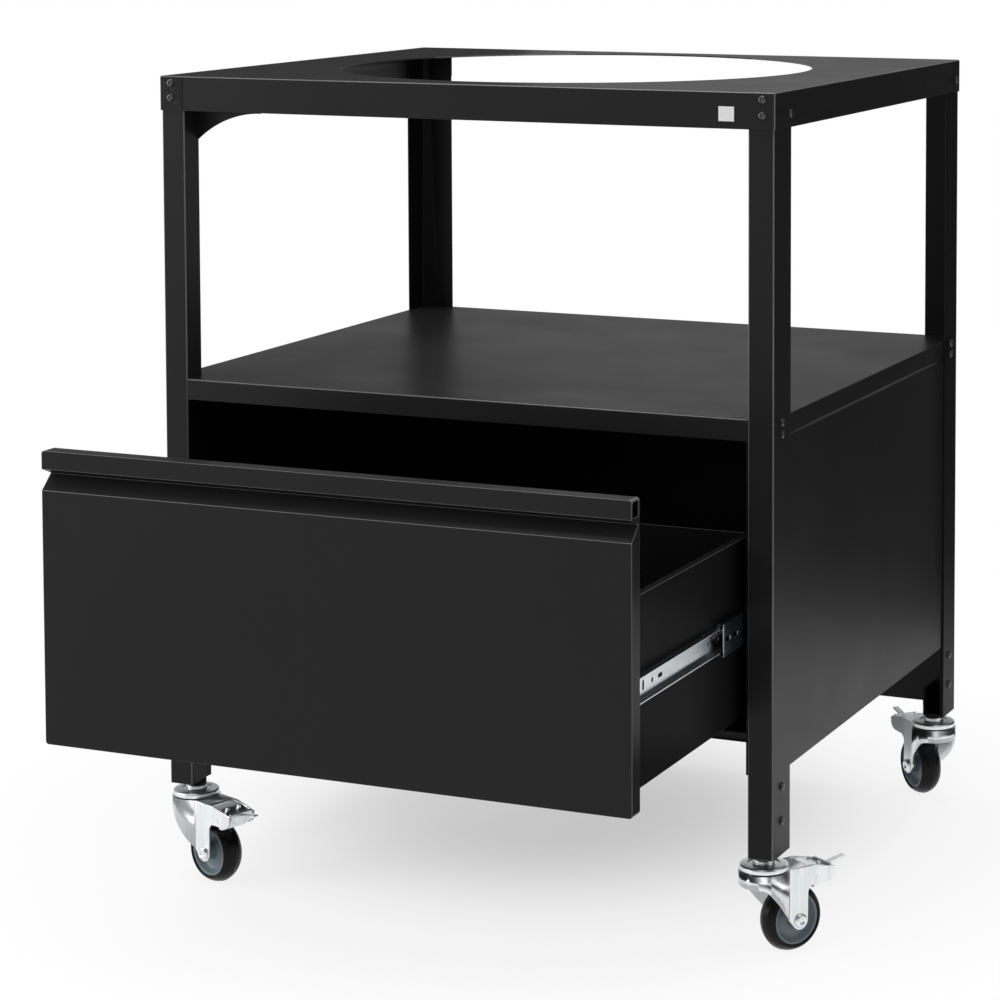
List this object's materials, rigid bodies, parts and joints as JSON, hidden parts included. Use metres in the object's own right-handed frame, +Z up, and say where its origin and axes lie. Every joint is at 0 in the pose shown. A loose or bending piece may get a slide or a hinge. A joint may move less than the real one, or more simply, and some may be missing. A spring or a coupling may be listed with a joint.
{
  "type": "kamado grill table",
  "caption": "Black sheet steel table on braked swivel castors, with a round grill cut-out in the top, a shelf under it and a pull-out drawer below.",
  "frame": {"origin": "on the floor at the centre of the table's footprint, over the posts, the drawer left out of it", "axes": "+Z up, +X to the right seen from the drawer's side, +Y to the back; the drawer opens towards -Y"},
  "size_m": [0.8142, 1.0131, 0.95],
  "materials": {
    "black_coat": "smooth satin powder coat",
    "badge_metal": "brushed, blank",
    "zinc": "bright zinc plate",
    "ball_steel": "polished balls in a steel strip",
    "black_screw": "black oxide",
    "hub_grey": "moulded",
    "tyre_black": "smooth moulded rubber"
  },
  "bodies": {
    "table": {"top_panel": "black_coat", "post_front_left": "black_coat", "post_front_right": "black_coat", "post_rear_left": "black_coat", "post_rear_right": "black_coat", "corner_gusset": "black_coat", "shelf": "black_coat", "side_panel_left": "black_coat", "side_panel_right": "black_coat", "inner_panel_left": "black_coat", "inner_panel_right": "black_coat", "back_panel": "black_coat", "cabinet_floor": "black_coat", "badge_plate": "badge_metal", "slide_cabinet_left": "zinc", "slide_cabinet_right": "zinc", "top_screws": "black_screw", "shelf_screws": "black_screw", "foot_screws": "black_screw", "foot_bracket_front_left": "black_coat", "foot_bracket_front_right": "black_coat", "foot_bracket_rear_left": "black_coat", "foot_bracket_rear_right": "black_coat", "castor_stem_front_left": "zinc", "castor_stem_front_right": "zinc", "castor_stem_rear_left": "zinc", "castor_stem_rear_right": "zinc"},
    "drawer": {"drawer_front": "black_coat", "drawer_liner": "black_coat", "drawer_side_left": "black_coat", "drawer_side_right": "black_coat", "drawer_bottom": "black_coat", "drawer_back": "black_coat", "slide_drawer_left": "zinc", "slide_drawer_right": "zinc"},
    "slide_middle": {"slide_middle_left": "zinc", "slide_middle_right": "zinc", "ball_retainer_left": "ball_steel", "ball_retainer_right": "ball_steel"},
    "fork_front_left": {"castor_fork_front_left": "zinc", "castor_axle_front_left": "zinc"},
    "wheel_front_left": {"castor_hub_front_left": "hub_grey", "castor_tyre_front_left": "tyre_black"},
    "pedal_front_left": {"brake_pedal_front_left": "zinc"},
    "fork_front_right": {"castor_fork_front_right": "zinc", "castor_axle_front_right": "zinc"},
    "wheel_front_right": {"castor_hub_front_right": "hub_grey", "castor_tyre_front_right": "tyre_black"},
    "pedal_front_right": {"brake_pedal_front_right": "zinc"},
    "fork_rear_left": {"castor_fork_rear_left": "zinc", "castor_axle_rear_left": "zinc"},
    "wheel_rear_left": {"castor_hub_rear_left": "hub_grey", "castor_tyre_rear_left": "tyre_black"},
    "pedal_rear_left": {"brake_pedal_rear_left": "zinc"},
    "fork_rear_right": {"castor_fork_rear_right": "zinc", "castor_axle_rear_right": "zinc"},
    "wheel_rear_right": {"castor_hub_rear_right": "hub_grey", "castor_tyre_rear_right": "tyre_black"},
    "pedal_rear_right": {"brake_pedal_rear_right": "zinc"}
  },
  "joints": [
    {"name": "drawer_slide", "type": "slide", "parent": "table", "child": "drawer", "axis": [0, -1, 0], "range_m": [-0.3, 0.05]},
    {"name": "slide_middle_travel", "type": "slide", "parent": "table", "child": "slide_middle", "axis": [0, -1, 0], "range_m": [-0.081, 0.0135]},
    {"name": "swivel_front_left", "type": "hinge", "parent": "table", "child": "fork_front_left", "pos_m": [-0.36, -0.3025, 0.097], "axis": [0, 0, 1], "continuous": true},
    {"name": "wheel_spin_front_left", "type": "hinge", "parent": "fork_front_left", "child": "wheel_front_left", "pos_m": [-0.32617, -0.31481, 0.0375], "axis": [0.342, 0.9397, 0], "continuous": true},
    {"name": "brake_front_left", "type": "hinge", "parent": "fork_front_left", "child": "pedal_front_left", "pos_m": [-0.30362, -0.32302, 0.08], "axis": [0.342, 0.9397, 0], "range_deg": [0, 12]},
    {"name": "swivel_front_right", "type": "hinge", "parent": "table", "child": "fork_front_right", "pos_m": [0.36, -0.3025, 0.097], "axis": [0, 0, 1], "continuous": true},
    {"name": "wheel_spin_front_right", "type": "hinge", "parent": "fork_front_right", "child": "wheel_front_right", "pos_m": [0.37961, -0.27231, 0.0375], "axis": [-0.8387, 0.5446, 0], "continuous": true},
    {"name": "brake_front_right", "type": "hinge", "parent": "fork_front_right", "child": "pedal_front_right", "pos_m": [0.39268, -0.25218, 0.08], "axis": [-0.8387, 0.5446, 0], "range_deg": [0, 12]},
    {"name": "swivel_rear_left", "type": "hinge", "parent": "table", "child": "fork_rear_left", "pos_m": [-0.36, 0.3025, 0.097], "axis": [0, 0, 1], "continuous": true},
    {"name": "wheel_spin_rear_left", "type": "hinge", "parent": "fork_rear_left", "child": "wheel_rear_left", "pos_m": [-0.32617, 0.31481, 0.0375], "axis": [-0.342, 0.9397, 0], "continuous": true},
    {"name": "brake_rear_left", "type": "hinge", "parent": "fork_rear_left", "child": "pedal_rear_left", "pos_m": [-0.30362, 0.32302, 0.08], "axis": [-0.342, 0.9397, 0], "range_deg": [0, 12]},
    {"name": "swivel_rear_right", "type": "hinge", "parent": "table", "child": "fork_rear_right", "pos_m": [0.36, 0.3025, 0.097], "axis": [0, 0, 1], "continuous": true},
    {"name": "wheel_spin_rear_right", "type": "hinge", "parent": "fork_rear_right", "child": "wheel_rear_right", "pos_m": [0.33454, 0.32796, 0.0375], "axis": [-0.7071, -0.7071, 0], "continuous": true},
    {"name": "brake_rear_right", "type": "hinge", "parent": "fork_rear_right", "child": "pedal_rear_right", "pos_m": [0.31757, 0.34493, 0.08], "axis": [-0.7071, -0.7071, 0], "range_deg": [0, 12]}
  ],
  "couplings": [
    {"joint": "slide_middle_travel", "follows": "drawer_slide", "ratio": 0.27}
  ]
}
